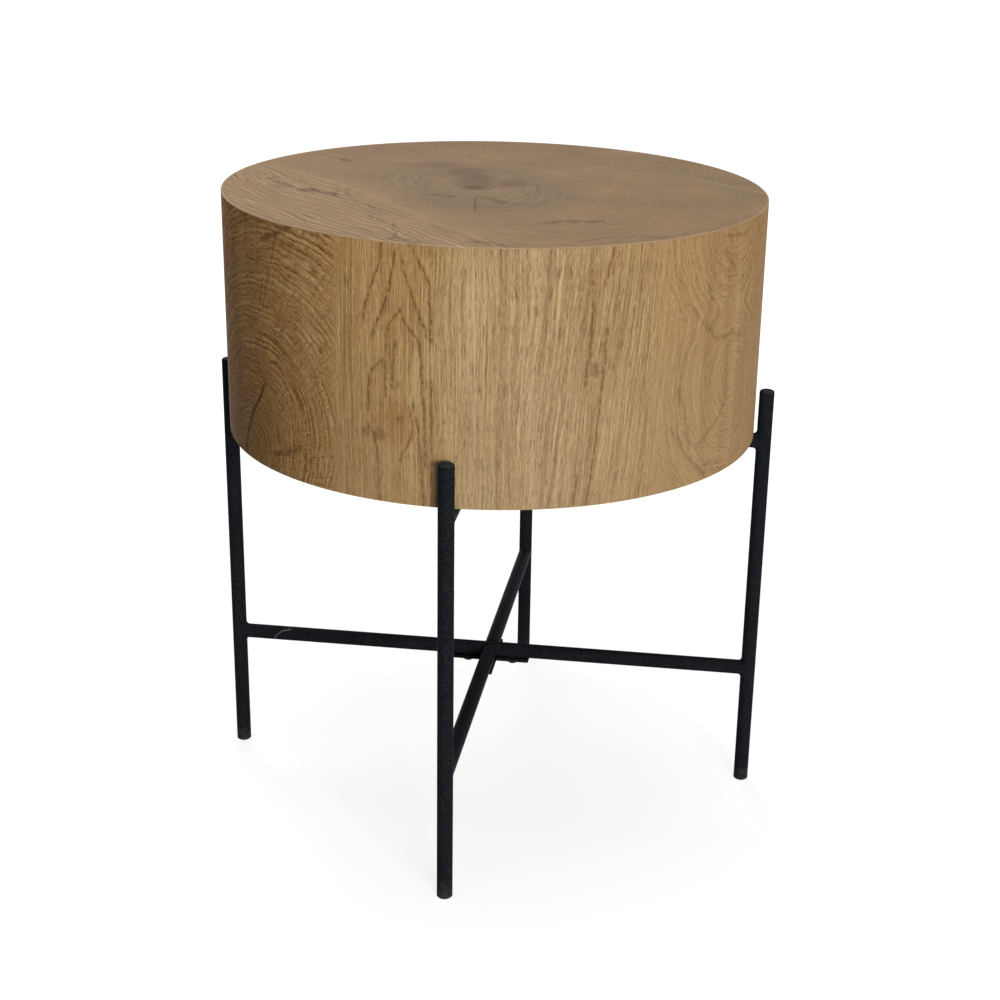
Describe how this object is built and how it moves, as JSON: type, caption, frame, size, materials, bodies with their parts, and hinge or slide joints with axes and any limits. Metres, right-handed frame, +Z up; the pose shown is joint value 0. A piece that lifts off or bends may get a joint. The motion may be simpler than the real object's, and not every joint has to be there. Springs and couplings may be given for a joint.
{
  "type": "drum side table",
  "caption": "Round side table: a hollow wood-look drum on a bolted frame of slim black steel rod legs joined by two crosses.",
  "frame": {"origin": "on the floor, at the middle of the drum's footprint", "axes": "+Z up; +X to the right-hand leg, -Y to the front leg; the table has the same legs at +Y and -X"},
  "size_m": [0.449, 0.449, 0.4985],
  "materials": {
    "side_laminate": "satin oak-look laminate with printed grain",
    "top_laminate": "satin oak-look laminate with printed end grain",
    "fibreboard": "raw medium-density fibreboard",
    "black_powder_coat": "fine satin powder coat",
    "black_screw": "black oxide",
    "insert_brass": "plain turned brass"
  },
  "bodies": {
    "root": {"leg_front": "black_powder_coat", "leg_back": "black_powder_coat", "leg_left": "black_powder_coat", "leg_right": "black_powder_coat", "lower_through_bar": "black_powder_coat", "lower_half_bar_front": "black_powder_coat", "lower_half_bar_back": "black_powder_coat", "upper_through_bar": "black_powder_coat", "upper_half_bar_front": "black_powder_coat", "upper_half_bar_back": "black_powder_coat", "lower_cross_plate": "black_powder_coat", "upper_cross_plate": "black_powder_coat", "lower_plate_bolts": "black_screw", "upper_plate_bolts": "black_screw", "drum_screws": "black_screw", "threaded_inserts": "insert_brass", "drum_bottom_panel": "fibreboard", "drum_top_panel": "fibreboard", "drum_side_wall": "fibreboard", "drum_rib_x": "fibreboard", "drum_rib_y": "fibreboard", "side_laminate": "side_laminate", "top_laminate": "top_laminate"}
  },
  "joints": []
}
